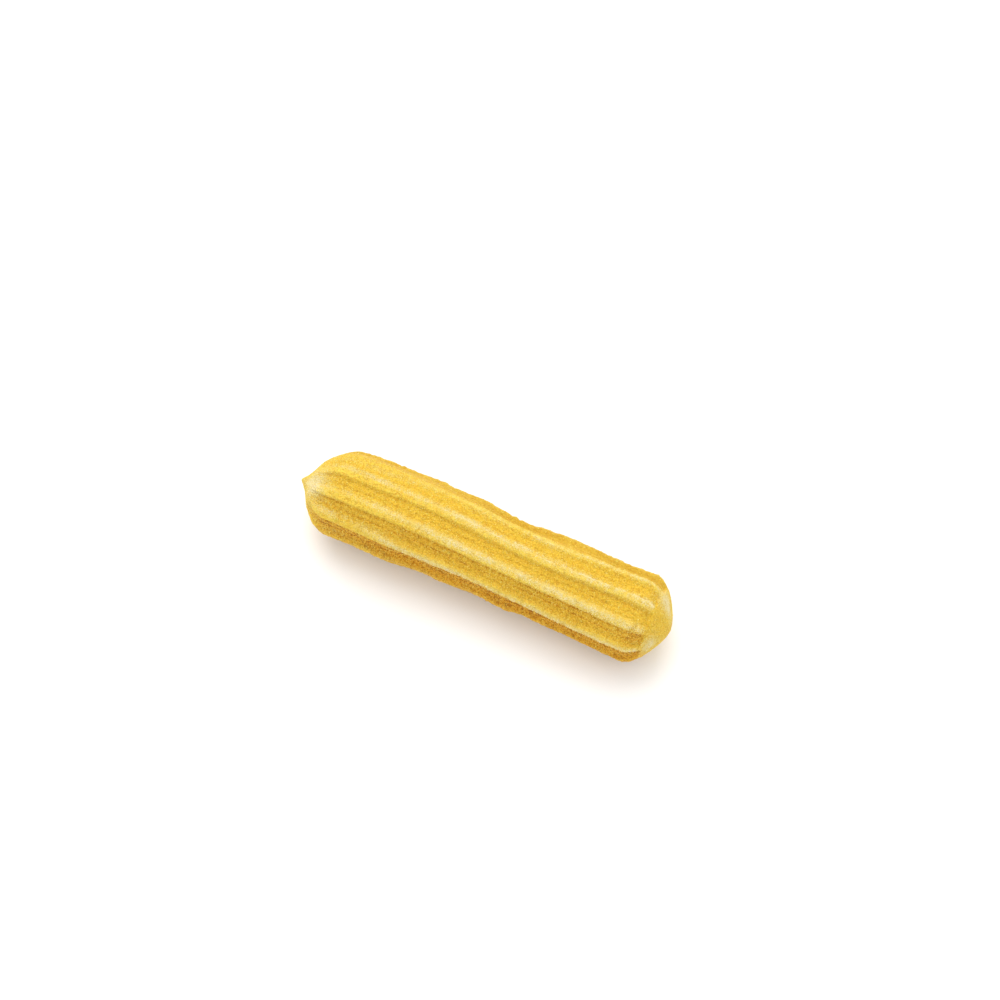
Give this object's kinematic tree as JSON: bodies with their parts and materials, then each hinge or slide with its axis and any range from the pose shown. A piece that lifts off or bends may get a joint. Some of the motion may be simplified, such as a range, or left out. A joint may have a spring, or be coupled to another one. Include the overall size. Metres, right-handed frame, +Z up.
{
  "type": "churro",
  "caption": "Plump short churro of piped yellow dough, with rounded ridges along it, a small pointed nub at one end, a smooth cap at the other and a floury frost.",
  "frame": {"origin": "on the surface that the churro lies on, under the middle of its bounding box", "axes": "+X along the bar from the pointed nub to the smooth cap, -Y towards the front, +Z up"},
  "size_m": [0.1, 0.0236, 0.0228],
  "materials": {
    "dough": "matt warm yellow dough with a faint oily sheen, paler where fine flour and frost lie on its ridges and ends"
  },
  "bodies": {
    "root": {"churro": "dough"}
  },
  "joints": []
}
